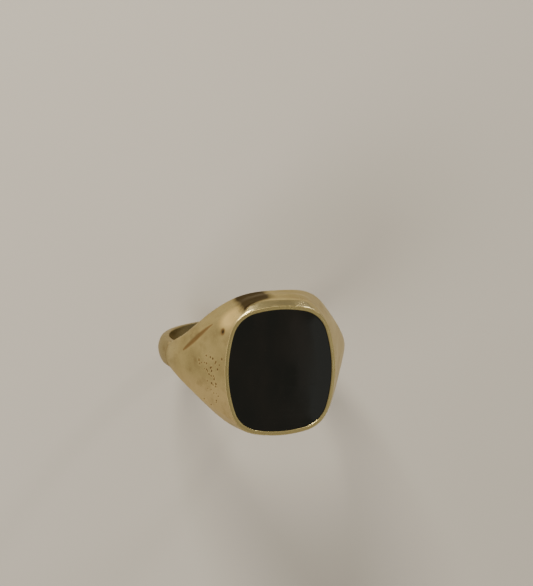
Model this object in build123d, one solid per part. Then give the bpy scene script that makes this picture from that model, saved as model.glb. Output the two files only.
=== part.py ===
from build123d import *
import os
from math import acos, atan2, cos, degrees, hypot, radians, sin, sqrt, tan

# A man's signet ring: a flat cushion tablet of onyx, set flush in a gold head.
# The head and its two shoulders are one casting. A half-round shank closes the
# hoop and is hard-soldered to the shoulders on both sides.
# Millimetres. The origin is the centre of the finger hole, +Y runs along the
# finger, +X across the shoulders and +Z up through the middle of the face.

# ---- driving sizes -------------------------------------------------------
bore_radius = 9.8            # finger hole, inside size 19.6 mm
face_rise = 4.2              # face above the top of the finger hole
face_height = bore_radius + face_rise

stone_half_x = 6.0           # onyx tablet, 12 mm across the finger
stone_half_y = 7.0           # onyx tablet, 14 mm along the finger
stone_side_radius = 14.7     # bow of the two long sides
stone_end_radius = 13.0      # bow of the two short ends
stone_corner_radius = 3.4
stone_thickness = 1.85
stone_bevel = 0.18           # bevel round the top edge, held by the lip
stone_bevel_height = 0.3

setting_gap = 0.02           # between the stone and the wall round it
bezel_wall = 0.22
cement_thickness = 0.15
ledge_width = 0.95           # bearing under the stone's edge
head_lip = 0.12              # gold left outside the bezel at the face

hoop_wall = 1.4              # thickness beside the finger
back_wall = 1.3              # thickness at the bottom of the shank
shank_half_width = 1.6       # at the solder seams
back_half_width = 1.35       # at the bottom of the shank
crown_drop = 0.5             # how far the half-round edge falls at the seams
shoulder_crown_drop = 0.8    # the same where a shoulder meets the face
edge_draft = 0.12            # the shank's outer edges stand this much inside

head_draft = 12.8            # slope of the head's end walls, degrees
shoulder_half_width = 6.0    # shoulder's width if it ran on to the middle
shoulder_bow = 3.5           # power of the shoulder's widening curve
face_margin = 0.15           # flat left between the lip and the shoulder line
shoulder_start_drop = 0.25   # shoulder line starts this far below the face

seam_angle = 14.0            # solder seams, degrees above the middle
seam_thickness = 0.12

cut_depth = 0.6              # how far sections reach into the finger hole
cut_over = 0.95              # how far sections reach above the face
cutter_overlap = 1.0         # how far a cutter runs past what it cuts
hoop_sections = 3            # sections of the head's round foot, at each side
shoulder_sections = 12       # sections of a shoulder
face_sections = 10           # sections from the face's edge to its middle
shank_sections = 24          # sections from a seam to the bottom of the shank

# ---- sizes that follow ---------------------------------------------------
hoop_radius = bore_radius + hoop_wall
face_x = stone_half_x + setting_gap + bezel_wall + head_lip
shoulder_x = face_x + face_margin
shoulder_z = face_height - shoulder_start_drop
recess_depth = stone_thickness + cement_thickness
recess_floor = face_height - recess_depth
bezel_offset = setting_gap + bezel_wall
head_offset = bezel_offset + head_lip
seam_half_angle = degrees(seam_thickness / 2 / hoop_radius)
head_start = seam_angle + seam_half_angle
shank_start = seam_angle - seam_half_angle


def cushion_arcs(offset):
    """Centres and radii of a quarter cushion's three arcs, grown by offset."""
    half_x, half_y = stone_half_x + offset, stone_half_y + offset
    side, end = stone_side_radius + offset, stone_end_radius + offset
    corner = stone_corner_radius + offset
    side_x, end_y = half_x - side, half_y - end
    reach_side, reach_end = side - corner, end - corner
    gap = hypot(side_x, end_y)
    along = (reach_side**2 - reach_end**2 + gap**2) / (2 * gap)
    across = sqrt(reach_side**2 - along**2)
    ux, uy = -side_x / gap, end_y / gap
    centre = (side_x + along * ux - across * uy, along * uy + across * ux)
    return side_x, end_y, side, end, corner, centre


def cushion_face(offset, z):
    """The tablet's cushion outline, grown by offset, as a face at height z."""
    side_x, end_y, side, end, corner, (cx, cy) = cushion_arcs(offset)
    at_side = atan2(cy, cx - side_x)
    at_end = atan2(cy - end_y, cx)
    side_point = (side_x + side * cos(at_side), side * sin(at_side))
    end_point = (end * cos(at_end), end_y + end * sin(at_end))
    middle = (at_side + at_end) / 2
    corner_point = (cx + corner * cos(middle), cy + corner * sin(middle))
    edges = []
    for sx, sy in ((1, 1), (-1, 1), (-1, -1), (1, -1)):
        a, m, b = [(sx * p[0], sy * p[1], z) for p in (side_point, corner_point, end_point)]
        edges.append(ThreePointArc(a, m, b))
    for sx in (1, -1):
        a, b = (sx * side_point[0], side_point[1], z), (sx * side_point[0], -side_point[1], z)
        edges.append(ThreePointArc(a, (sx * (side_x + side), 0, z), b))
    for sy in (1, -1):
        a, b = (end_point[0], sy * end_point[1], z), (-end_point[0], sy * end_point[1], z)
        edges.append(ThreePointArc(a, (0, sy * (end_y + end), z), b))
    return Face(Wire(edges))


def cushion_block(offset, z_low, z_high):
    return extrude(cushion_face(offset, z_low), z_high - z_low, dir=(0, 0, 1))


def cushion_reach(x, offset):
    """How far the cushion outline reaches along the finger at x."""
    side_x, end_y, side, end, corner, (cx, cy) = cushion_arcs(offset)
    at_end = atan2(cy - end_y, cx)
    if x <= end * cos(at_end):
        return end_y + sqrt(end**2 - x**2)
    if x < cx + corner:
        return cy + sqrt(corner**2 - (x - cx) ** 2)
    return 0.0


def widening(x, half_width):
    """Half the band's width where its outer line is at x: from seam to half_width."""
    seam_x = hoop_radius * cos(radians(head_start))
    share = 1 - min(1.0, x / seam_x) ** shoulder_bow
    return shank_half_width + (half_width - shank_half_width) * share


def front_points():
    """The ring's outer line seen along the finger, from a seam to the middle."""
    reach = hypot(shoulder_x, shoulder_z)
    tangent = atan2(shoulder_z, shoulder_x) - acos(hoop_radius / reach)
    foot = (hoop_radius * cos(tangent), hoop_radius * sin(tangent))
    start = radians(head_start)
    points = []
    for i in range(hoop_sections):
        a = start + (tangent - start) * i / hoop_sections
        points.append((hoop_radius * cos(a), hoop_radius * sin(a)))
    for i in range(shoulder_sections + 1):
        share = i / shoulder_sections
        x = foot[0] + (shoulder_x - foot[0]) * share
        z = foot[1] + (shoulder_z - foot[1]) * share
        points.append((x, z))
    rise = (shoulder_x - face_x) / (face_height - shoulder_z)
    top_x = face_x - rise * cut_over
    for i in range(face_sections + 1):
        points.append((top_x * (1 - i / face_sections), face_height + cut_over))
    return points


def band_section(angle, inner_half, outer_half, r_edge, r_crown):
    """A section of the band, square to the hoop, as a face."""
    a = radians(angle)

    def at(r, y):
        return (r * cos(a), y, r * sin(a))

    r_in = bore_radius - cut_depth
    slope = (outer_half - inner_half) / (r_edge - bore_radius)
    foot = inner_half - slope * cut_depth
    corners = [at(r_in, -foot), at(r_in, foot), at(r_edge, outer_half), at(r_edge, -outer_half)]
    return Face(
        Wire(
            [
                Line(corners[0], corners[1]),
                Line(corners[1], corners[2]),
                ThreePointArc(corners[2], at(r_crown, 0), corners[3]),
                Line(corners[3], corners[0]),
            ]
        )
    )


def seam_section(angle):
    return band_section(
        angle,
        shank_half_width,
        shank_half_width - edge_draft,
        hoop_radius - crown_drop,
        hoop_radius,
    )


def head_section(point):
    """Section through a shoulder or the head, at a point of the outer line."""
    x, z = point
    angle = degrees(atan2(z, x))
    share = min(1.0, (angle - head_start) / (degrees(atan2(shoulder_z, shoulder_x)) - head_start))
    r_crown = hypot(x, z)
    r_edge = r_crown - crown_drop - (shoulder_crown_drop - crown_drop) * share
    x_edge = x * r_edge / r_crown
    end_wall = face_rise * tan(radians(head_draft))
    head_half = stone_half_y + head_offset + end_wall
    inner_half = widening(x, head_half)
    shoulder_half = widening(x, shoulder_half_width) - edge_draft
    outer_half = max(shoulder_half, cushion_reach(x_edge, head_offset))
    return band_section(angle, inner_half, outer_half, r_edge, r_crown)


def shank_section(angle):
    share = (shank_start - angle) / (shank_start + 90)
    half = shank_half_width + (back_half_width - shank_half_width) * share
    r_crown = hoop_radius + (back_wall - hoop_wall) * share
    return band_section(angle, half, half - edge_draft, r_crown - crown_drop, r_crown)


def both_sides(right):
    """Sections from the right seam to the middle, then back up the left side."""
    return right + [face.mirror(Plane.YZ) for face in right[-2::-1]]


hole_length = 4 * (stone_half_y + face_rise)
finger_hole = Rot(X=90) * Cylinder(bore_radius, hole_length)


def make_head():
    body = loft(both_sides([head_section(p) for p in front_points()]), ruled=True)
    block = 2 * (hoop_radius + face_rise)
    above = Pos(0, 0, face_height + block / 2) * Box(block, block, block)
    back_window = cushion_block(-ledge_width, 0, face_height)
    recess = cushion_block(bezel_offset, recess_floor, face_height + cutter_overlap)
    return body - above - finger_hole - recess - back_window


def make_shank():
    step = (shank_start + 90) / shank_sections
    right = [shank_section(shank_start - i * step) for i in range(shank_sections + 1)]
    body = loft(both_sides(right), ruled=True)
    return body - finger_hole


def make_seam():
    return loft([seam_section(shank_start), seam_section(head_start)]) - finger_hole


def make_bezel():
    wall = cushion_block(bezel_offset, recess_floor, face_height)
    bevel_start = face_height - stone_bevel_height
    pocket = cushion_block(setting_gap, recess_floor - cutter_overlap, bevel_start)
    under_lip = loft(
        [
            cushion_face(setting_gap, bevel_start),
            cushion_face(setting_gap - stone_bevel, face_height),
        ]
    )
    return wall - pocket - under_lip


def make_stone():
    bottom = recess_floor + cement_thickness
    bevel_start = face_height - stone_bevel_height
    body = cushion_block(0, bottom, bevel_start)
    bevel = loft([cushion_face(0, bevel_start), cushion_face(-stone_bevel, face_height)])
    return body + bevel


def make_cement():
    bed = cushion_block(0, recess_floor, recess_floor + cement_thickness)
    return bed - cushion_block(-ledge_width, recess_floor - cutter_overlap, face_height)


seam = make_seam()
os.makedirs("parts", exist_ok=True)
export_step(make_head(), "parts/head.step")
export_step(make_shank(), "parts/shank.step")
export_step(seam, "parts/solder_seam_right.step")
export_step(seam.mirror(Plane.YZ), "parts/solder_seam_left.step")
export_step(make_bezel(), "parts/bezel.step")
export_step(make_stone(), "parts/onyx_tablet.step")
export_step(make_cement(), "parts/setting_cement.step")
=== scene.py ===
"""A gentleman's signet ring in worn 9 carat gold, with a flush cushion tablet of black onyx."""

import random
from math import acos, atan2, cos, exp, hypot, pi, radians, sin, sqrt, tan

import bmesh
import bpy
from mathutils import Matrix, Vector, noise


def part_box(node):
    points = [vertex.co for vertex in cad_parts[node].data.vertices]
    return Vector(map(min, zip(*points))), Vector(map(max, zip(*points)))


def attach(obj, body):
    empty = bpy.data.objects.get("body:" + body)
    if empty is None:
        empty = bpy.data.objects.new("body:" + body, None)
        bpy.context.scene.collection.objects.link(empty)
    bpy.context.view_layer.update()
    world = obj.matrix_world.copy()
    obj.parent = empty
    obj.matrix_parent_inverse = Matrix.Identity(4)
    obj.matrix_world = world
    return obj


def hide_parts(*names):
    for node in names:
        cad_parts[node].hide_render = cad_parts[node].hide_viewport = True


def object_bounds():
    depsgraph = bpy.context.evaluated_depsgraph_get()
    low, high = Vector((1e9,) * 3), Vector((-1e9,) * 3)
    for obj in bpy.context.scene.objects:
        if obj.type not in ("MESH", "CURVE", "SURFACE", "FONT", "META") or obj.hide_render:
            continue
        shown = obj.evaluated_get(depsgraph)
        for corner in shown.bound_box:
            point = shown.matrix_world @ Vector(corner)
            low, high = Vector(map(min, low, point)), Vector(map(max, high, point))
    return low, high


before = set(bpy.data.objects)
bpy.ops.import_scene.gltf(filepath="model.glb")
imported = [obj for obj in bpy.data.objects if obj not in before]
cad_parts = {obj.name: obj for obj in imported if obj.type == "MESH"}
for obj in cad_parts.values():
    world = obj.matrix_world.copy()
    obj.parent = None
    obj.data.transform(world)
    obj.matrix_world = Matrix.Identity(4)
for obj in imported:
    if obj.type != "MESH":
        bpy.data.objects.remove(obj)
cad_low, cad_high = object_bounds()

# ---- head and shoulders --------------------------------------------------
# One casting of 9 carat gold: a drafted cushion-topped head whose two shoulders
# run down into the hoop. It is filed, emeried and polished, and years of wear
# have softened every edge and left dents and open casting pits on a shoulder.

MM = 0.001
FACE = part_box("head")[1].z / MM
STONE_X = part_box("onyx_tablet")[1].x / MM
STONE_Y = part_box("onyx_tablet")[1].y / MM
SIDE_BOW, END_BOW, CORNER = 14.7, 13.0, 3.4
BORE = 9.8
HOOP = 11.2
HEAD_START = radians(14.306)
SEAM_HALF_WIDTH = 1.6
SEAM_CROWN = 0.5
EDGE_DRAFT = 0.12
SHOULDER_FULLNESS = 3.5
LEFT_FULLNESS, RIGHT_FULLNESS = 2.45, 3.35
SHOULDER_HALF_WIDTH = 6.0
FACE_HALF_LENGTH = 7.36
FACE_RISE = 4.2
END_DRAFT = radians(12.8)
HEAD_HALF_WIDTH = FACE_HALF_LENGTH + FACE_RISE * tan(END_DRAFT)
SHOULDER_TOP = (6.4, FACE - 0.4)
TOP_REACH = hypot(*SHOULDER_TOP)
FOOT_ANGLE = atan2(SHOULDER_TOP[1], SHOULDER_TOP[0]) - acos(HOOP / TOP_REACH)
HOLE_LAG = radians(5.4)
HOLE_SOFTNESS = 0.3
LIP = 0.35


def rim_point(normal_angle, offset):
    """The cushion outline's point whose outward normal has this angle."""
    side, end, corner = SIDE_BOW + offset, END_BOW + offset, CORNER + offset
    side_x, end_y = STONE_X - SIDE_BOW, STONE_Y - END_BOW
    gap = hypot(side_x, end_y)
    along = ((side - corner) ** 2 - (end - corner) ** 2 + gap**2) / (2 * gap)
    across = sqrt((side - corner) ** 2 - along**2)
    ux, uy = -side_x / gap, end_y / gap
    cx, cy = side_x + along * ux - across * uy, along * uy + across * ux
    c, s = cos(normal_angle), sin(normal_angle)
    turn = atan2(abs(s), abs(c))
    if turn < atan2(cy, cx - side_x):
        x, y = side_x + side * abs(c), side * abs(s)
    elif turn > atan2(cy - end_y, cx):
        x, y = end * abs(c), end_y + end * abs(s)
    else:
        x, y = cx + corner * abs(c), cy + corner * abs(s)
    return (x if c >= 0 else -x), (y if s >= 0 else -y)


def rim_x(y, offset):
    """How far the cushion outline stands out sideways at y along the finger."""
    low, high = 0.0, pi / 2
    for _ in range(40):
        middle = (low + high) / 2
        if rim_point(middle, offset)[1] < y:
            low = middle
        else:
            high = middle
    return rim_point(low, offset)[0]


def shoulder_half(x):
    """Half the width of a shoulder's outer face where its outer line is at x."""
    share = 1 - min(1.0, x / (HOOP * cos(HEAD_START))) ** SHOULDER_FULLNESS
    return SEAM_HALF_WIDTH + (SHOULDER_HALF_WIDTH - SEAM_HALF_WIDTH) * share - EDGE_DRAFT


def hole_edge_half(angle, fullness):
    """Half the width of the finger hole's wall at this angle round the hoop."""
    share = 1 - min(1.0, cos(angle) / cos(HEAD_START)) ** fullness
    return SEAM_HALF_WIDTH + (HEAD_HALF_WIDTH - SEAM_HALF_WIDTH) * share


def between(a, b, share):
    """The value that lies this share of the way from a to b."""
    return a + (b - a) * share


def half_loop(crown, edge, hole_angle, hole_half, soft, bulge=0.0):
    """Half a section: along the finger hole, up the side to the edge, over the crown.

    crown is a function from 0 at the middle line to 1 at the edge, and soft is
    how far from the edge its rounding starts, on the crown and on the side.
    """
    hole_reach = (0.0, 0.5 * hole_half, hole_half - HOLE_SOFTNESS, hole_half)
    hole = [Vector((BORE * cos(hole_angle), y, BORE * sin(hole_angle))) for y in hole_reach]
    edge = Vector(edge)
    side = edge - hole[-1]
    up = side.normalized()
    out = Vector((0, bulge, 0))
    wall = [
        hole[-1] + up * HOLE_SOFTNESS,
        hole[-1] + side * 0.5 + out,
        edge - up * soft[1] + out * 0.5,
    ]
    top = [Vector(crown(share)) for share in (1 - soft[0], 0.66, 0.33, 0.0)]
    return hole + wall + [edge] + top


def whole_loop(half):
    """The half section and its mirror image across the middle line."""
    mirrored = [Vector((p.x, -p.y, p.z)) for p in half[-2:0:-1]]
    return half + mirrored


# rows round the hoop's own curve, then rows up the straight of a shoulder
FOOT_ROWS = (HEAD_START, HEAD_START + radians(0.7), radians(17.0), radians(20.0))
SHOULDER_ROWS = (0.05, 0.16, 0.28, 0.4, 0.52, 0.64, 0.75, 0.85, 0.93, 1.0)
EXTRA_CROWN = 0.4
SEAM_SOFTNESS, SHOULDER_SOFTNESS = 0.3, 0.62
SHOULDER_BULGE = 0.1


def shoulder_rows(fullness):
    """Sections from the seam up to the row just under the face's side edge."""
    foot = (HOOP * cos(FOOT_ANGLE), HOOP * sin(FOOT_ANGLE))
    rows = []
    for angle in FOOT_ROWS:
        rows.append((HOOP * cos(angle), HOOP * sin(angle), 0.0))
    for share in SHOULDER_ROWS:
        x, z = (between(a, b, share) for a, b in zip(foot, SHOULDER_TOP))
        rows.append((x, z, share))
    loops = []
    for x, z, share in rows:
        blend = share**2 * (3 - 2 * share)
        half = shoulder_half(x)
        lean = min(atan2(z, x), FOOT_ANGLE)
        drop = (1 - blend) * (SEAM_CROWN + EXTRA_CROWN * share)
        grown = SHOULDER_TOP[0] - STONE_X
        start = rim_x(0, grown)

        def crown(t):
            bow = blend * (start - rim_x(t * half, grown))
            return x - bow - drop * cos(lean) * t * t, t * half, z - drop * sin(lean) * t * t

        hole_angle = atan2(z, x) - HOLE_LAG * share**2
        hole_half = hole_edge_half(hole_angle, fullness)
        soft = between(SEAM_SOFTNESS, SHOULDER_SOFTNESS, min(1.0, 3 * share))
        bulge = SHOULDER_BULGE * min(1.0, 2 * share)
        softness = (soft / half, soft)
        loops.append(half_loop(crown, crown(1.0), hole_angle, hole_half, softness, bulge))
    return loops


# turns of the outline's outward normal, in degrees, and the hole's wall below
SIDE_TURN, CORNER_TURN = 27, 55
HOLE_X_AT_SIDE, HOLE_X_AT_CORNER = 4.97, 4.3
# turn, distance out from the stone and distance down from the face
SIDE_ROLL = ((33, 0.33, 0.24), (39, 0.27, 0.12), (45, 0.2, 0.04), (50, 0.14, 0.01))
END_TURNS = (55, 60, 65, 70, 75, 79, 82, 85, 88, 90)
EDGE_DROP = 0.12
FACE_DROP = 0.02
FACE_INSET = 0.14
MIDDLE_X_AT_45 = 5.6
CROWN_SOFTNESS, SIDE_SOFTNESS, CORNER_SOFTNESS = 0.1, 0.6, 0.45
SIDE_BULGE, END_BULGE = 0.06, 0.02


def rim_rows(fullness):
    """Sections that roll over the face's side edge, then run on to its middle."""
    loops = []

    def add(turn, crown, edge, soft, bulge):
        share = (turn - SIDE_TURN) / (CORNER_TURN - SIDE_TURN)
        corner_x = rim_point(radians(CORNER_TURN), LIP)[0]
        hole_x = between(HOLE_X_AT_SIDE, HOLE_X_AT_CORNER, share)
        if turn > CORNER_TURN:
            hole_x = edge[0] * HOLE_X_AT_CORNER / corner_x
        angle = acos(hole_x / BORE)
        hole_half = hole_edge_half(angle, fullness)
        loops.append(half_loop(crown, edge, angle, hole_half, (CROWN_SOFTNESS, soft), bulge))

    first, last = SIDE_ROLL[0][0], SIDE_ROLL[-1][0]
    for turn, offset, drop in SIDE_ROLL:
        edge_x, edge_y = rim_point(radians(turn), max(offset, LIP))

        def crown(t):
            return rim_x(t * edge_y, offset), t * edge_y, FACE - drop

        edge = (edge_x, edge_y, FACE - max(drop, EDGE_DROP))
        soft = between(SIDE_SOFTNESS, CORNER_SOFTNESS, (turn - first) / (last - first))
        add(turn, crown, edge, soft, SIDE_BULGE)
    for turn in END_TURNS:
        edge_x, edge_y = rim_point(radians(turn), LIP)
        middle_x = MIDDLE_X_AT_45 * (90 - turn) / 45
        inset_x, inset_y = rim_point(radians(turn), FACE_INSET)

        def crown(t):
            share = t / (1 - CROWN_SOFTNESS)
            return between(middle_x, inset_x, share), between(0.0, inset_y, share), FACE - FACE_DROP

        edge = (edge_x, edge_y, FACE - EDGE_DROP)
        add(turn, crown, edge, CORNER_SOFTNESS, END_BULGE)
    return loops


def both_sides(right, left):
    """Sections from the right seam to the middle, then down the left side."""
    mirrored = [[Vector((-p.x, p.y, p.z)) for p in loop] for loop in left[-2::-1]]
    return right + mirrored


def wobble(point):
    """The slight unevenness that years of wear leave in a polished surface."""
    broad = noise.noise(point / MM * 0.35 + Vector((3.1, 0.7, 5.2)))
    close = noise.noise(point / MM * 0.9 + Vector((8.3, 2.9, 1.4)))
    return (0.035 * broad + 0.012 * close) * MM


def clip(value):
    return min(1.0, max(0.0, value))


def ease(value):
    """From 0 to 1 with a soft start and a soft stop."""
    value = clip(value)
    return value * value * (3 - 2 * value)


def hand_finish(piece):
    """Moves the outside in and out a little, but not the finger hole, seams or face."""
    mesh = bmesh.new()
    mesh.from_mesh(piece.data)
    mesh.normal_update()
    for vertex in mesh.verts:
        height = vertex.co.z / MM
        clear_of_hole = clip((hypot(vertex.co.x, vertex.co.z) / MM - BORE - 0.2) / 0.6)
        clear_of_face = clip((FACE - 0.15 - height) / 0.6)
        clear_of_seam = clip(abs(height - HOOP * sin(HEAD_START)) / 1.5)
        vertex.co += vertex.normal * wobble(vertex.co) * clear_of_hole * clear_of_face * clear_of_seam
    mesh.to_mesh(piece.data)
    mesh.free()


FAR_END_BOW = 0.42


def fill_out_far_end(piece):
    """Bows the far end wall out, so that it rolls over broadly to the face."""
    for vertex in piece.data.vertices:
        x, y, z = vertex.co / MM
        if y > 5.0:
            inside_corners = ease((5.2 - abs(x)) / 2.2)
            below_face = ease((FACE - 0.03 - z) / 0.8)
            above_hole = ease((z - 10.2) / 2.0)
            vertex.co.y += FAR_END_BOW * inside_corners * below_face * above_hole * MM


def only(piece):
    """Leaves this piece selected and active, alone."""
    for other in bpy.context.selected_objects:
        other.select_set(False)
    piece.select_set(True)
    bpy.context.view_layer.objects.active = piece
    return piece


def apply_all(piece):
    """Applies the piece's modifiers, in their order."""
    only(piece)
    for modifier in list(piece.modifiers):
        bpy.ops.object.modifier_apply(modifier=modifier.name)
    return piece


def start_ring(name, corners, fill):
    """A circle to be drawn out along the piece, left in edit mode."""
    for other in bpy.context.selected_objects:
        other.select_set(False)
    bpy.ops.mesh.primitive_circle_add(vertices=corners, radius=10 * MM, fill_type=fill)
    piece = bpy.context.active_object
    piece.name = name
    bpy.ops.object.mode_set(mode="EDIT")
    return piece


def draw_out(piece, loops):
    """Puts the ring's corners on the first loop, then extrudes it from loop to loop."""
    was = None
    for spots in loops:
        if was:
            bpy.ops.mesh.extrude_region_move()
        mesh = bmesh.from_edit_mesh(piece.data)
        chosen = [v for v in mesh.verts if v.select]
        if was:
            order = {p: i for i, p in enumerate(was)}
            chosen.sort(key=lambda v: order[v.co.to_tuple(8)])
        for vertex, spot in zip(chosen, spots):
            vertex.co = Vector(spot) * MM
        was = [v.co.to_tuple(8) for v in chosen]
    bmesh.update_edit_mesh(piece.data)


def close_up(piece):
    """Faces outwards, back to object mode."""
    bpy.ops.mesh.select_all(action="SELECT")
    bpy.ops.mesh.normals_make_consistent(inside=False)
    bpy.ops.object.mode_set(mode="OBJECT")
    return only(piece)


def draw_bar(name, loops):
    """A closed bar with flat ends through these sections."""
    piece = start_ring(name, len(loops[0]), "NGON")
    draw_out(piece, loops)
    return close_up(piece)


def draw_cushion(name, rings, around, hollow=False):
    """Cushion outlines, each an (offset, height), drawn out from one to the next."""
    piece = start_ring(name, around, "NOTHING")
    turns = [2 * pi * i / around for i in range(around)]
    loops = [[(*rim_point(turn, offset), height) for turn in turns] for offset, height in rings]
    draw_out(piece, loops)
    bpy.ops.mesh.select_all(action="DESELECT")
    bpy.ops.mesh.select_non_manifold(extend=False)
    if hollow:
        bpy.ops.mesh.bridge_edge_loops()
    else:
        bpy.ops.mesh.edge_face_add()
    return close_up(piece)


def crease_ends(piece):
    """Keeps the flat ends of a bar flat when it is subdivided."""
    bpy.ops.object.mode_set(mode="EDIT")
    bpy.ops.mesh.select_mode(type="FACE")
    bpy.ops.mesh.select_all(action="DESELECT")
    mesh = bmesh.from_edit_mesh(piece.data)
    for face in mesh.faces:
        face.select = len(face.verts) > 4
    bmesh.update_edit_mesh(piece.data)
    bpy.ops.mesh.region_to_loop()
    bpy.ops.transform.edge_crease(value=1.0)
    bpy.ops.mesh.select_mode(type="VERT")
    bpy.ops.object.mode_set(mode="OBJECT")


def smooth_out(piece, levels):
    subdivision = piece.modifiers.new("smooth", "SUBSURF")
    subdivision.levels = subdivision.render_levels = levels
    apply_all(piece)


def cut(piece, cutter):
    """Cuts one piece with another, which is then thrown away."""
    modifier = piece.modifiers.new("cut", "BOOLEAN")
    modifier.operation, modifier.solver, modifier.object = "DIFFERENCE", "EXACT", cutter
    apply_all(piece)
    bpy.data.objects.remove(cutter)


GOUGE_START, GOUGE_END, GOUGE_STEPS = Vector((-9.43, 1.34, 6.23)), Vector((-6.85, 4.85, 10.2)), 26
GOUGE_GRIME = 0.6
# a deep dirty dent by the face's corner, and two shallow ones that trail from it
DENTS = (
    (Vector((-6.27, 4.51, 12.61)), 0.4, 0.07, 0.95),
    (Vector((-6.45, 4.25, 12.3)), 0.55, 0.04, 0.3),
    (Vector((-6.73, 3.99, 11.84)), 0.6, 0.03, 0.2),
)
PITS, PIT_SEED = 46, 7
PIT_MIDDLE = Vector((-7.35, -1.2, 11.25))
PIT_BAND_LENGTH, PIT_BAND_WIDTH = 1.8, 0.352
SHOULDER_SLOPE = 2.4


def shoulder_dents():
    """Hollows in the left shoulder: (spot, radius, depth, grime), in millimetres."""
    hollows = []
    for i in range(GOUGE_STEPS + 1):
        share = i / GOUGE_STEPS
        swell = sin(pi * share) ** 0.6
        radius, depth = 0.14 + 0.22 * swell, 0.015 + 0.045 * swell
        hollows.append((GOUGE_START.lerp(GOUGE_END, share), radius, depth, GOUGE_GRIME))
    hollows.extend(DENTS)
    draw = random.Random(PIT_SEED)
    for _ in range(PITS):
        along = draw.gauss(PIT_MIDDLE.y, PIT_BAND_LENGTH)
        across = draw.gauss(0, 1) * PIT_BAND_WIDTH
        height = PIT_MIDDLE.z + across * SHOULDER_SLOPE + draw.gauss(0, 0.3)
        size = draw.uniform(0.07, 0.14)
        spot = Vector((PIT_MIDDLE.x + across, along, height))
        hollows.append((spot, size, 0.45 * size, draw.uniform(0.8, 1.2)))
    return hollows


def refine(piece):
    """Joins what the cuts left in slivers, and gives the left shoulder a finer mesh."""
    only(piece)
    bpy.ops.object.mode_set(mode="EDIT")
    bpy.ops.mesh.select_all(action="SELECT")
    bpy.ops.mesh.remove_doubles(threshold=0.002 * MM)
    bpy.ops.mesh.select_mode(type="FACE")
    bpy.ops.mesh.select_all(action="DESELECT")
    mesh = bmesh.from_edit_mesh(piece.data)
    for face in mesh.faces:
        middle = face.calc_center_median() / MM
        outside = face.normal.x < -0.5 and middle.x < -5.6
        face.select = outside and 9.4 < middle.z < FACE - 0.6 and abs(middle.y) < 5.2
    bmesh.update_edit_mesh(piece.data)
    bpy.ops.mesh.subdivide(number_cuts=1, smoothness=0)
    bpy.ops.mesh.select_mode(type="VERT")
    bpy.ops.object.mode_set(mode="OBJECT")


WEAR_ON_EDGES = 6


def sink(piece, hollows):
    """Presses hollows into the surface, and notes each point's grime and wear."""
    mesh = bmesh.new()
    mesh.from_mesh(piece.data)
    mesh.normal_update()
    grime = mesh.verts.layers.float.new("grime")
    worn = mesh.verts.layers.float.new("worn")
    outside = [v for v in mesh.verts if v.normal.x < -0.3 and v.co.x < -5 * MM]
    starts = {v: (v.co.copy() / MM, v.normal.copy()) for v in outside}
    for spot, radius, depth, dirt in hollows:
        for vertex in outside:
            start, out = starts[vertex]
            away = start - spot
            if abs(away.y) > 2.2 * radius or abs(away.z) > 6 * radius + 0.5:
                continue
            flat = away - out * away.dot(out)
            fall = exp(-((flat.length / radius) ** 2))
            vertex.co -= out * depth * fall * MM
            vertex[grime] = max(vertex[grime], dirt * fall)
    for vertex in mesh.verts:
        bend = 0
        for edge in vertex.link_edges:
            away = vertex.co - edge.other_vert(vertex).co
            bend += away.normalized().dot(vertex.normal)
        vertex[worn] = clip(bend / max(1, len(vertex.link_edges)) * WEAR_ON_EDGES)
    mesh.to_mesh(piece.data)
    mesh.free()


head_loops = both_sides(
    [whole_loop(half) for half in shoulder_rows(RIGHT_FULLNESS) + rim_rows(RIGHT_FULLNESS)],
    [whole_loop(half) for half in shoulder_rows(LEFT_FULLNESS) + rim_rows(LEFT_FULLNESS)],
)
SETTING_WALL = 0.24
RECESS_DEPTH = 2.0
LEDGE = 0.95
OUTLINE_STEPS = 192
recess = [(SETTING_WALL, FACE - RECESS_DEPTH), (SETTING_WALL, FACE + 1.0)]
back_window = [(-LEDGE, 5.0), (-LEDGE, FACE - 1.0)]
head = draw_bar("head_and_shoulders", head_loops)
crease_ends(head)
smooth_out(head, 3)
hand_finish(head)
fill_out_far_end(head)
cut(head, draw_cushion("recess", recess, OUTLINE_STEPS))
cut(head, draw_cushion("back_window", back_window, OUTLINE_STEPS))
refine(head)
sink(head, shoulder_dents())
bpy.ops.object.shade_smooth_by_angle(angle=radians(38))


class Value:
    """A shader socket used like a number: each operation adds its Math node."""

    def __init__(self, socket):
        self.socket = socket

    def maths(self, operation, first, second=None):
        node = self.socket.node.id_data.nodes.new("ShaderNodeMath")
        node.operation = operation
        for slot, term in zip(node.inputs, (first, second)):
            if isinstance(term, Value):
                self.socket.node.id_data.links.new(term.socket, slot)
            elif term is not None:
                slot.default_value = term
        return Value(node.outputs[0])

    def __add__(self, other):
        return self.maths("ADD", self, other)

    __radd__ = __add__

    def __sub__(self, other):
        return self.maths("SUBTRACT", self, other)

    def __rsub__(self, other):
        return self.maths("SUBTRACT", other, self)

    def __mul__(self, other):
        return self.maths("MULTIPLY", self, other)

    __rmul__ = __mul__

    def __gt__(self, other):
        return self.maths("GREATER_THAN", self, other)

    def __lt__(self, other):
        return self.maths("LESS_THAN", self, other)

    def squared(self):
        return self * self

    def clipped(self):
        return self.maths("MINIMUM", self.maths("MAXIMUM", self, 0.0), 1.0)


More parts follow.
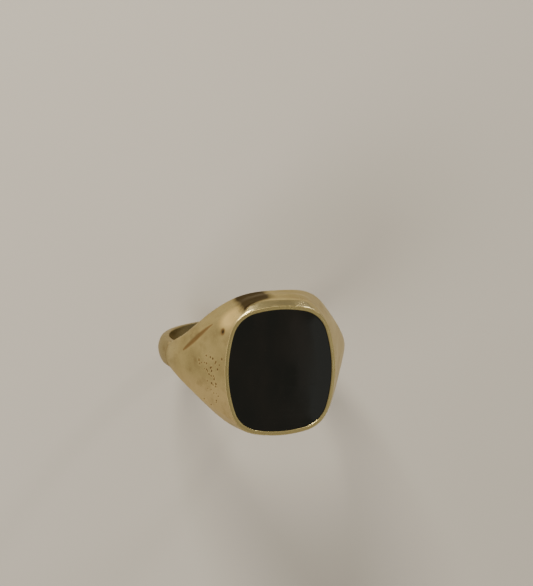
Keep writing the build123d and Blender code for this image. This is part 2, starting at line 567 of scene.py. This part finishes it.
class Nodes:
    """A tree of shader nodes being put together."""

    def __init__(self, tree):
        self.tree = tree

    def node(self, kind, settings, sockets, output=0):
        """Adds a node: its settings first, then its sockets' values or links."""
        node = self.tree.nodes.new("ShaderNode" + kind)
        for key, value in settings.items():
            if key == "stops":
                ends = node.color_ramp.elements
                while len(ends) < len(value):
                    ends.new(0.5)
                for end, (place, level) in zip(ends, value):
                    end.position, end.color = place, (level, level, level, 1)
            else:
                setattr(node, key, value)
        for key, value in sockets.items():
            if isinstance(value, Value):
                self.tree.links.new(value.socket, node.inputs[key])
            else:
                node.inputs[key].default_value = value
        return Value(node.outputs[output])

    def axes(self, vector):
        """A vector's three parts."""
        parts = self.node("SeparateXYZ", {}, {"Vector": vector}).socket.node
        return [Value(part) for part in parts.outputs]

    def blend(self, factor, under, over):
        """One colour over another."""
        colours = {}
        for slot, colour in ((6, under), (7, over)):
            colours[slot] = colour if isinstance(colour, Value) else (*colour, 1)
        return self.node("Mix", {"data_type": "RGBA"}, {0: factor, **colours}, 2)


class Finish(Nodes):
    """A surface finish being put together round one Principled shader."""

    def __init__(self, name, **constants):
        self.material = bpy.data.materials.new(name)
        self.material.use_nodes = True
        super().__init__(self.material.node_tree)
        self.shader = self.tree.nodes["Principled BSDF"]
        for socket, value in constants.items():
            self.shader.inputs[socket.replace("_", " ")].default_value = value

    def place(self, stretch=(1, 1, 1), turn=(0, 0, 0), shift=(0, 0, 0)):
        """Where a point is on the piece, in millimetres, turned and stretched."""
        spot = self.node("TexCoord", {}, {}, "Object")
        size = tuple(s / MM for s in stretch)
        sockets = {"Vector": spot, "Scale": size, "Rotation": turn, "Location": shift}
        return self.node("Mapping", {}, sockets)

    def cloud(self, scale, detail=3.0, **where):
        """Soft noise from 0 to 1, scale times to the millimetre."""
        sockets = {"Vector": self.place(**where), "Scale": scale, "Detail": detail}
        return self.node("TexNoise", {}, sockets)

    def patches(self, factor, low, high):
        """A mask that is 0 where factor is under low, and 1 where it is over high."""
        stops = ((0.0, 0.0), (low, 0.0), (high, 1.0), (1.0, 1.0))
        return self.node("ValToRGB", {"stops": stops}, {"Fac": factor})

    def mark(self, name):
        """A value that was noted on the mesh's points."""
        return self.node("Attribute", {"attribute_name": name}, {}, "Fac")

    def bump(self, height, distance, strength=1.0, under=None):
        """Relief of this height, in millimetres, over another."""
        sockets = {"Height": height, "Distance": distance * MM, "Strength": strength}
        if under:
            sockets["Normal"] = under
        return self.node("Bump", {}, sockets)

    def feed(self, **sockets):
        for key, value in sockets.items():
            self.tree.links.new(value.socket, self.shader.inputs[key.replace("_", " ")])

    def give(self, *pieces):
        for piece in pieces:
            piece.data.materials.clear()
            piece.data.materials.append(self.material)


def scratches(finish, turn, shift, length=0.22, fine=9.0):
    """Hairlines that all run roughly one way, as a mask."""
    warp = finish.cloud(0.4, 2.0, shift=shift)
    lines = finish.cloud(1.0, 2.0, stretch=(length, fine, fine), turn=turn, shift=shift)
    return finish.patches(lines + 0.05 * warp, 0.66, 0.71)


CLEAN_GOLD = (0.54, 0.45, 0.215)
DULL_GOLD = (0.39, 0.32, 0.15)
# lighter, rosier gold for a painted reflection low on the left shoulder
LOW_REFLECTION_GOLD = (0.64, 0.5, 0.26)
BRIGHT_GOLD = (0.85, 0.7, 0.34)
# gold for a painted highlight on the left corner
CORNER_HIGHLIGHT_GOLD = (1.0, 0.77, 0.32)
PALE_GOLD = (0.6, 0.52, 0.32)
# darker gold for painted shade on the hoop
HOOP_SHADE_GOLD = (0.31, 0.26, 0.14)
GOUGE_GOLD = (0.3, 0.195, 0.08)
TARNISH = (0.2, 0.125, 0.05)
# dark brown for a painted reflection on the far end wall
DARK_REFLECTION_BROWN = (0.045, 0.029, 0.013)
DIRT = (0.06, 0.036, 0.015)
WARM_GLANCE = (0.95, 0.88, 0.7, 1.0)


def worn_gold():
    """Old satin gold: patchy film, rubbed edges, hairlines and pits, with a painted highlight,
    painted reflections, painted shade on the hoop and a painted dark reflection on the far end wall.
    """
    gold = Finish("worn_gold", Metallic=1.0, IOR=1.45, Specular_Tint=WARM_GLANCE)
    film = gold.patches(gold.cloud(0.3, 4.0, shift=(2.0, 5.0, 1.0)), 0.36, 0.62)
    mottle = gold.cloud(1.6, 5.0, shift=(7.0, 1.0, 3.0))
    smut = gold.patches(gold.cloud(0.75, 5.0, shift=(1.0, 9.0, 4.0)), 0.54, 0.72)
    grime, worn = gold.mark("grime"), gold.mark("worn")
    x, y, z = gold.axes(gold.place())

    # casting pits, too fine for the mesh, in the middle of the left shoulder
    spots = {"Vector": gold.place(), "Scale": 2.6, "Randomness": 1.0}
    cells = gold.node("TexVoronoi", {}, spots, "Distance")
    pit_area = (1.0 - 0.9 * (x + 7.3).squared() - 0.055 * (y + 1.0).squared()).clipped()
    some = gold.cloud(1.1, 1.0, shift=(4.0, 4.0, 2.0)) > 0.47
    pits = (cells < 0.13) * some * pit_area * (z > 6.0)

    # a painted dark brown reflection on the far end wall, from its left corner to near its middle
    past_corner = ((x + 4.7 - 0.6 * mottle) * 1.6).clipped()
    before_middle = (0.7 * mottle - 0.5 - x).clipped()
    under_rim = ((13.05 - 0.25 * x - z) * 1.8).clipped()
    painted_dark_reflection = past_corner * before_middle * under_rim * (y > 5.6)

    # the left corner with a painted highlight, and a painted lighter, rosier reflection low on the
    # left shoulder
    painted_corner_highlight = 1.2 - 0.26 * (x + 5.1).squared() - 0.3 * (y - 5.8).squared() - 0.2 * (z - 12.3).squared()
    painted_corner_highlight = painted_corner_highlight.clipped()
    painted_low_reflection = ((-0.6 - y) * 0.5).clipped() * (x < -5.0) * 0.7

    # paler on the right as a painted reflection, paler by the seams, darker on the hoop as painted
    # shade, polished under the far rim
    painted_right_reflection = ((x - 2.0 + mottle) * 0.25).clipped() * 0.75
    pale_seam = ((5.4 - z) * 0.4).clipped() * 0.45
    painted_hoop_shade = ((3.0 - z + mottle) * 1.2).clipped() * 0.85
    polished = ((y - 6.4) * 1.5).clipped() * ((z - 12.2) * 1.5).clipped()

    hairs = scratches(gold, (0.2, 0.5, 1.1), (0, 0, 0)) + scratches(gold, (1.2, 0.1, 0.4), (5, 3, 1))
    hairs = (hairs + scratches(gold, (0.7, 1.3, 2.2), (2, 8, 6), 0.35, 12.0)).clipped()

    colour = gold.blend(film * 0.8, CLEAN_GOLD, DULL_GOLD)
    # painted reflection, lighter and rosier, low on the left shoulder
    colour = gold.blend(painted_low_reflection, colour, LOW_REFLECTION_GOLD)
    # painted paler reflection on the right, and paler by the seams
    colour = gold.blend((painted_right_reflection + pale_seam).clipped(), colour, PALE_GOLD)
    # painted shade on the hoop
    colour = gold.blend(painted_hoop_shade, colour, HOOP_SHADE_GOLD)
    colour = gold.blend(mottle * 0.2, colour, TARNISH)
    colour = gold.blend(smut * 0.3, colour, TARNISH)
    colour = gold.blend(hairs * 0.16, colour, BRIGHT_GOLD)
    colour = gold.blend((worn * 0.9).clipped(), colour, BRIGHT_GOLD)
    # painted highlight on the left corner
    colour = gold.blend(painted_corner_highlight.squared() * 0.9, colour, CORNER_HIGHLIGHT_GOLD)
    # painted dark reflection on the far end wall
    colour = gold.blend(painted_dark_reflection, colour, DARK_REFLECTION_BROWN)
    colour = gold.blend(((grime - 0.2) * 4.0).clipped(), colour, GOUGE_GOLD)
    colour = gold.blend(((grime - 0.54) * 3.5 + pits * 0.9).clipped(), colour, DIRT)

    rough = 0.29 - 0.15 * polished + 0.1 * film + 0.1 * (mottle - 0.5) + 0.08 * smut
    rough = rough + 0.2 * grime - 0.1 * worn + 0.25 * pits + 0.15 * painted_dark_reflection
    metal = (1.0 - 0.6 * (grime - 0.6).clipped()).clipped()
    grain = gold.bump(gold.cloud(6.0, 4.0), 0.01, 0.22)
    cuts = gold.bump(hairs, -0.004, 0.5, grain)
    relief = gold.bump(pits, -0.03, 0.7, cuts)
    gold.feed(Base_Color=colour, Roughness=rough.clipped(), Metallic=metal, Normal=relief)
    return gold


gold = worn_gold()
gold.give(head)
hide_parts("head")
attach(head, "root")

# ---- shank ---------------------------------------------------------------
# Half-round wire of 9 carat gold, bent to the hoop and a little thinner and
# narrower at the bottom, where it has worn against the hand.

SHANK_START = radians(13.694)
SHANK_STEPS = 18
BACK_NARROWING = 0.25
BACK_THINNING = 0.1


def hoop_loop(angle, half, crown_radius):
    """A half-round section of the hoop at this angle, half as wide as half says."""
    edge_radius = crown_radius - SEAM_CROWN
    outer_half = half - EDGE_DRAFT

    def crown(t):
        radius = crown_radius - SEAM_CROWN * t * t
        return radius * cos(angle), t * outer_half, radius * sin(angle)

    edge = (edge_radius * cos(angle), outer_half, edge_radius * sin(angle))
    softness = (SEAM_SOFTNESS / outer_half, SEAM_SOFTNESS)
    return whole_loop(half_loop(crown, edge, angle, half, softness))


def shank_loops():
    """Sections from a seam down to the bottom of the hoop."""
    loops = []
    for share in [0.0, 0.008] + [i / SHANK_STEPS for i in range(1, SHANK_STEPS + 1)]:
        turn = SHANK_START - (SHANK_START + pi / 2) * share
        half = SEAM_HALF_WIDTH - BACK_NARROWING * share
        loops.append(hoop_loop(turn, half, HOOP - BACK_THINNING * share))
    return loops


shank = draw_bar("shank_hoop", both_sides(shank_loops(), shank_loops()))
crease_ends(shank)
smooth_out(shank, 2)
hand_finish(shank)
bpy.ops.object.shade_smooth_by_angle(angle=radians(40))
gold.give(shank)
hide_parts("shank")
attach(shank, "root")

# ---- solder seams --------------------------------------------------------
# The two joints between the shank and the shoulders: a thin layer of paler hard
# solder, run in with the torch and filed flush, a touch lower than the gold.

PALE_SOLDER, GREY_SOLDER = (0.36, 0.27, 0.12), (0.24, 0.165, 0.07)
# share of the seam's thickness, and how far it lies below the gold there
SEAM_DIPS = ((0.0, 0.0), (0.1, 0.008), (0.5, 0.02), (0.9, 0.008), (1.0, 0.0))


def filed_solder():
    """Hard solder: paler and greyer than the gold, with file marks across it."""
    solder = Finish("filed_solder", Metallic=1.0)
    patch = solder.cloud(2.5, 4.0)
    marks = scratches(solder, (0.0, 0.0, 0.0), (1, 1, 1), 0.5, 14.0)
    colour = solder.blend(patch, PALE_SOLDER, GREY_SOLDER)
    colour = solder.blend(marks * 0.3, colour, BRIGHT_GOLD)
    normal = solder.bump(marks, -0.006, 0.6, solder.bump(patch, 0.02, 0.4))
    solder.feed(Base_Color=colour, Roughness=0.38 + 0.14 * patch, Normal=normal)
    return solder


solder = filed_solder()
for side, mirror in (("right", 1), ("left", -1)):
    loops = []
    for share, dip in SEAM_DIPS:
        turn = SHANK_START + (HEAD_START - SHANK_START) * share
        loop = hoop_loop(turn, SEAM_HALF_WIDTH - dip, HOOP - dip)
        loops.append([Vector((mirror * p.x, p.y, p.z)) for p in loop])
    seam = draw_bar("solder_line_" + side, loops)
    crease_ends(seam)
    smooth_out(seam, 2)
    bpy.ops.object.shade_smooth_by_angle(angle=radians(40))
    solder.give(seam)
    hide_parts("solder_seam_" + side)
    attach(seam, "root")

# ---- setting cement ------------------------------------------------------
# A thin bed of dark shellac cement on the bearing, pressed out by the stone so
# that its inner edge stands a little past the ledge in an uneven bead.

DARK_CEMENT, DRY_CEMENT = (0.035, 0.02, 0.012), (0.1, 0.062, 0.036)
CEMENT_RINGS = [
    (-0.02, FACE - 1.99), (-0.02, FACE - 1.86), (-0.9, FACE - 1.86), (-0.98, FACE - 1.88),
    (-1.02, FACE - 1.94), (-1.0, FACE - 1.99), (-0.94, FACE - 2.0),
]


def squeeze_out(piece):
    """Pushes the cement's inner edge in and out unevenly."""
    for vertex in piece.data.vertices:
        push = 1 + 0.012 * noise.noise(vertex.co / MM * 0.8)
        if rim_x(min(abs(vertex.co.y) / MM, STONE_Y - 1.1), -0.93) > abs(vertex.co.x) / MM:
            vertex.co.x *= push
            vertex.co.y *= push


cement = draw_cushion("cement_bed", CEMENT_RINGS, OUTLINE_STEPS, hollow=True)
squeeze_out(cement)
bpy.ops.object.shade_smooth_by_angle(angle=radians(50))


def shellac_cement():
    """Brown-black cement, dull where it has dried out and glossy where it ran."""
    finish = Finish("shellac_cement", IOR=1.5)
    patch = finish.cloud(1.8, 5.0)
    grit = finish.cloud(9.0, 3.0)
    colour = finish.blend(patch, DARK_CEMENT, DRY_CEMENT)
    normal = finish.bump(grit, 0.03, 0.6, finish.bump(patch, 0.08, 0.5))
    finish.feed(Base_Color=colour, Roughness=0.45 + 0.4 * patch, Normal=normal)
    return finish


shellac_cement().give(cement)
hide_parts("setting_cement")
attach(cement, "root")

# ---- stone ---------------------------------------------------------------
# A 14 x 12 mm cushion tablet of black onyx, sawn, lapped flat and polished,
# with a narrow bevel round its top edge for the gold to be pushed over.

DEEP_BLACK, SMEARED_BLACK = (0.0035, 0.0039, 0.0028), (0.0075, 0.006, 0.0042)
DUST = (0.08, 0.075, 0.065)
ONYX_RINGS = [
    (-0.15, FACE - 1.85), (0.0, FACE - 1.7), (0.0, FACE - 0.3), (-0.1, FACE - 0.13),
    (-0.16, FACE - 0.035), (-0.2, FACE - 0.018), (-0.3, FACE - 0.012), (-2.0, FACE - 0.01),
]
onyx = draw_cushion("onyx_stone", ONYX_RINGS, OUTLINE_STEPS)
bpy.ops.object.shade_smooth_by_angle(angle=radians(35))


def black_onyx():
    """Polished black onyx with finger smears and a few hairlines in the polish."""
    finish = Finish("black_onyx", IOR=1.5)
    wiped = {"stretch": (1.0, 0.45, 1.0), "turn": (0.0, 0.0, 0.5), "shift": (3.0, 1.0, 0.0)}
    smear = finish.patches(finish.cloud(0.22, 3.0, **wiped), 0.42, 0.7)
    hairs = scratches(finish, (0.0, 0.0, 0.9), (2, 2, 0), 0.12, 11.0)
    dust = finish.cloud(11.0, 2.0) > 0.74
    colour = finish.blend(smear, DEEP_BLACK, SMEARED_BLACK)
    colour = finish.blend(dust * 0.35, colour, DUST)
    waves = finish.bump(finish.cloud(0.35, 1.0), 0.02, 0.12)
    rough = 0.05 + 0.1 * smear + 0.06 * hairs
    finish.feed(Base_Color=colour, Roughness=rough, Normal=finish.bump(hairs, -0.002, 0.12, waves))
    return finish


black_onyx().give(onyx)
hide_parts("onyx_tablet")
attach(onyx, "root")

# ---- bezel ---------------------------------------------------------------
# A thin wall of richer yellow gold round the stone, pushed over its bevel with
# a burnisher, which leaves the edge bright and very slightly uneven.

RICH_GOLD, RICH_GOLD_SHADE = (0.97, 0.81, 0.37), (0.84, 0.66, 0.27)
BEZEL_RINGS = [
    (SETTING_WALL, FACE - RECESS_DEPTH), (SETTING_WALL, FACE - 0.04), (0.23, FACE - 0.028),
    (0.18, FACE - 0.012), (0.1, FACE - 0.003), (0.01, FACE + 0.002), (-0.09, FACE),
    (-0.135, FACE - 0.008), (-0.15, FACE - 0.03), (-0.15, FACE - 0.06), (0.02, FACE - 0.3),
    (0.02, FACE - RECESS_DEPTH),
]
bezel = draw_cushion("bezel_rim", BEZEL_RINGS, OUTLINE_STEPS, hollow=True)
bpy.ops.object.shade_smooth_by_angle(angle=radians(50))


def burnished_gold():
    """Richer yellow gold, bright where the burnisher ran and dull in its chatter."""
    finish = Finish("burnished_gold", Metallic=1.0)
    patch = finish.cloud(1.2, 4.0)
    chatter = finish.cloud(2.2, 3.0, stretch=(1.0, 1.0, 0.2))
    hairs = scratches(finish, (0.1, 0.2, 0.7), (1, 4, 2), 0.4, 12.0)
    colour = finish.blend(patch, RICH_GOLD, RICH_GOLD_SHADE)
    colour = finish.blend(hairs * 0.25, colour, BRIGHT_GOLD)
    normal = finish.bump(hairs, -0.004, 0.4, finish.bump(chatter, 0.03, 0.25))
    finish.feed(Base_Color=colour, Roughness=0.22 + 0.12 * patch, Normal=normal)
    return finish


burnished_gold().give(bezel)
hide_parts("bezel")
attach(bezel, "root")

# ---- floor, light and camera ---------------------------------------------
# A sheet of pale card to stand on. One soft lamp stands behind the face's far
# end with a small one beside it, a weak one fills in from the near side, and a
# dim card hangs over the stone.

FLOOR_SIZE = 3.0
PALE_CARD, SHADED_CARD = (0.57, 0.53, 0.46), (0.53, 0.485, 0.415)

bpy.ops.object.select_all(action="DESELECT")
bpy.ops.mesh.primitive_plane_add(size=FLOOR_SIZE, location=(0, 0, cad_low.z))
floor = bpy.context.active_object
floor.name = "floor"
card = Finish("pale_card", Roughness=0.75)
card.feed(
    Base_Color=card.blend(card.cloud(0.02, 4.0), PALE_CARD, SHADED_CARD),
    Normal=card.bump(card.cloud(3.0, 3.0), 0.02, 0.15),
)
card.give(floor)

ROOM_LOW, ROOM_HIGH = (0.62, 0.585, 0.52), (0.31, 0.29, 0.25)
ROOM_TOP = 0.85
ROOM_STRENGTH = 0.75

world = bpy.data.worlds.new("studio")
bpy.context.scene.world = world
world.use_nodes = True
room = Nodes(world.node_tree)
heading = room.node("TexCoord", {}, {}, "Generated")
height = room.axes(heading)[2]
glow = room.blend((height * (1 / ROOM_TOP)).clipped(), ROOM_LOW, ROOM_HIGH)
background = world.node_tree.nodes["Background"]
background.inputs["Strength"].default_value = ROOM_STRENGTH
world.node_tree.links.new(glow.socket, background.inputs["Color"])


def soft_light(name, spot, size, power, colour, mirrored=True):
    """A round lamp, aimed at the ring, which the gold and the stone may mirror."""
    data = bpy.data.lights.new(name, "AREA")
    data.shape, data.size, data.energy, data.color = "DISK", size, power, colour
    lamp = bpy.data.objects.new(name, data)
    bpy.context.scene.collection.objects.link(lamp)
    lamp.location = spot
    lamp.rotation_euler = (-Vector(spot)).to_track_quat("-Z", "Y").to_euler()
    lamp.visible_glossy = mirrored


soft_light("window", (-0.14, 0.36, 0.2), 0.15, 2.6, (1.0, 0.955, 0.87))
soft_light("fill", (-0.3, -0.18, 0.3), 0.3, 1.2, (1.0, 0.97, 0.93), mirrored=False)
soft_light("glint", (0.28, 0.37, 0.19), 0.05, 0.35, (1.0, 0.97, 0.9))
soft_light("card_over_stone", (0.172, -0.1, 0.4), 0.12, 0.01, (0.95, 1.0, 0.95))

ROLL, PITCH, YAW = radians(0.54), radians(10.0), radians(13.87)
RING_FROM_CAMERA = Vector((-1.82, -6.22, -155.96)) * MM
# the lens takes in what a window of this height shows from this distance
WINDOW_HEIGHT, WINDOW_DISTANCE = 586, 1300
SENSOR = 36
LENS = WINDOW_DISTANCE * SENSOR / WINDOW_HEIGHT

tilt = Matrix.Rotation(ROLL, 3, "Z") @ Matrix.Rotation(PITCH, 3, "X") @ Matrix.Rotation(YAW, 3, "Y")
upright = tilt.transposed()
camera = bpy.data.objects.new("camera", bpy.data.cameras.new("camera"))
bpy.context.scene.collection.objects.link(camera)
camera.data.lens = LENS
camera.data.clip_start = 0.01
camera.matrix_world = Matrix.Translation(-(upright @ RING_FROM_CAMERA)) @ upright.to_4x4()
bpy.context.scene.camera = camera
